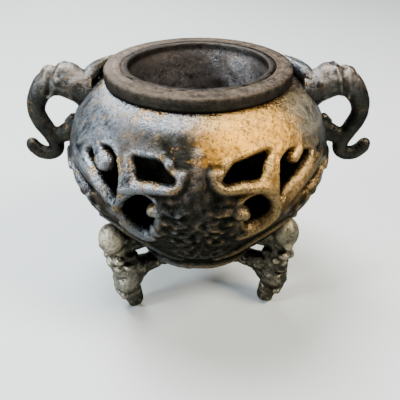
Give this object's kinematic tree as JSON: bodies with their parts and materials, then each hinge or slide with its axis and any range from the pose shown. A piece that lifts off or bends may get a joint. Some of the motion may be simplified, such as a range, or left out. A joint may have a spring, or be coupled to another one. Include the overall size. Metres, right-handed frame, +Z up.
{
  "type": "incense burner",
  "caption": "Cast-bronze incense burner: a pierced round bowl on animal-head legs, with curled-trunk handles at the sides and a deep liner cup in a heavy rim ring that lifts out.",
  "frame": {"origin": "on the bowl's axis, in the plane that the feet stand on", "axes": "+Z up along the bowl's axis, front towards -Y, handles along X"},
  "size_m": [0.1394, 0.1042, 0.106],
  "materials": {
    "bowl_bronze": "worn dark brown patina with golden ochre and blue-grey bloom, rough cast",
    "liner_bronze": "smooth dark brown, sooty, half gloss",
    "rim_bronze": "worn warm taupe top, dark green-black turned wall",
    "handle_bronze": "dark brown-green with worn reddish gold edges",
    "leg_bronze": "olive tan bloom over dark brown, rough cast",
    "rivet_bronze": "dull hammered dark bronze"
  },
  "bodies": {
    "bowl": {"body_shell": "bowl_bronze", "left_lug": "bowl_bronze", "right_lug": "bowl_bronze", "left_handle": "handle_bronze", "right_handle": "handle_bronze", "leg_front_left": "leg_bronze", "leg_front_right": "leg_bronze", "leg_back": "leg_bronze", "leg_rivets": "rivet_bronze"},
    "liner": {"liner_cup": "liner_bronze", "rim_ring": "rim_bronze"}
  },
  "joints": [
    {"name": "liner_lift", "type": "slide", "parent": "bowl", "child": "liner", "axis": [0, 0, 1], "range_m": [0, 0.07]}
  ]
}
